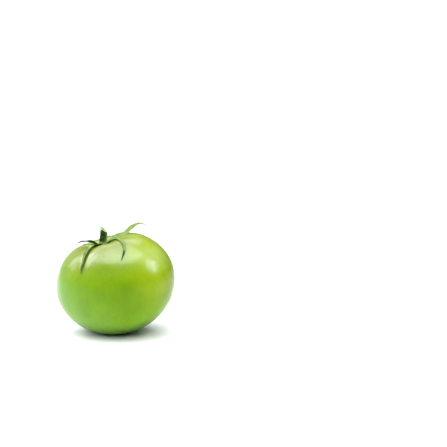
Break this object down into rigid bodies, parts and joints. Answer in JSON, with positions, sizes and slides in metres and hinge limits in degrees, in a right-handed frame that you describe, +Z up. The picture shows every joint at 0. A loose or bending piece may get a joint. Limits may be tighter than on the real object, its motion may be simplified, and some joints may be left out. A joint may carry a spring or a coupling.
{
  "type": "green tomato",
  "caption": "Whole unripe green tomato, slightly flattened and faintly lobed, resting tilted on a small flat spot, with its calyx and a short stub of stalk in the hollow on top.",
  "frame": {"origin": "middle of the small flat spot that the fruit rests on", "axes": "+Z up from the surface it rests on, -Y towards the viewer of the picture, +X to the viewer's right; the stalk's axis leans from +Z towards -X"},
  "size_m": [0.0707, 0.0708, 0.0659],
  "materials": {
    "skin": "smooth waxy gloss, bright yellow-green, paler at the crown",
    "calyx": "matt leaf green, finely hairy and veined"
  },
  "bodies": {
    "root": {"fruit": "skin", "calyx": "calyx"}
  },
  "joints": []
}
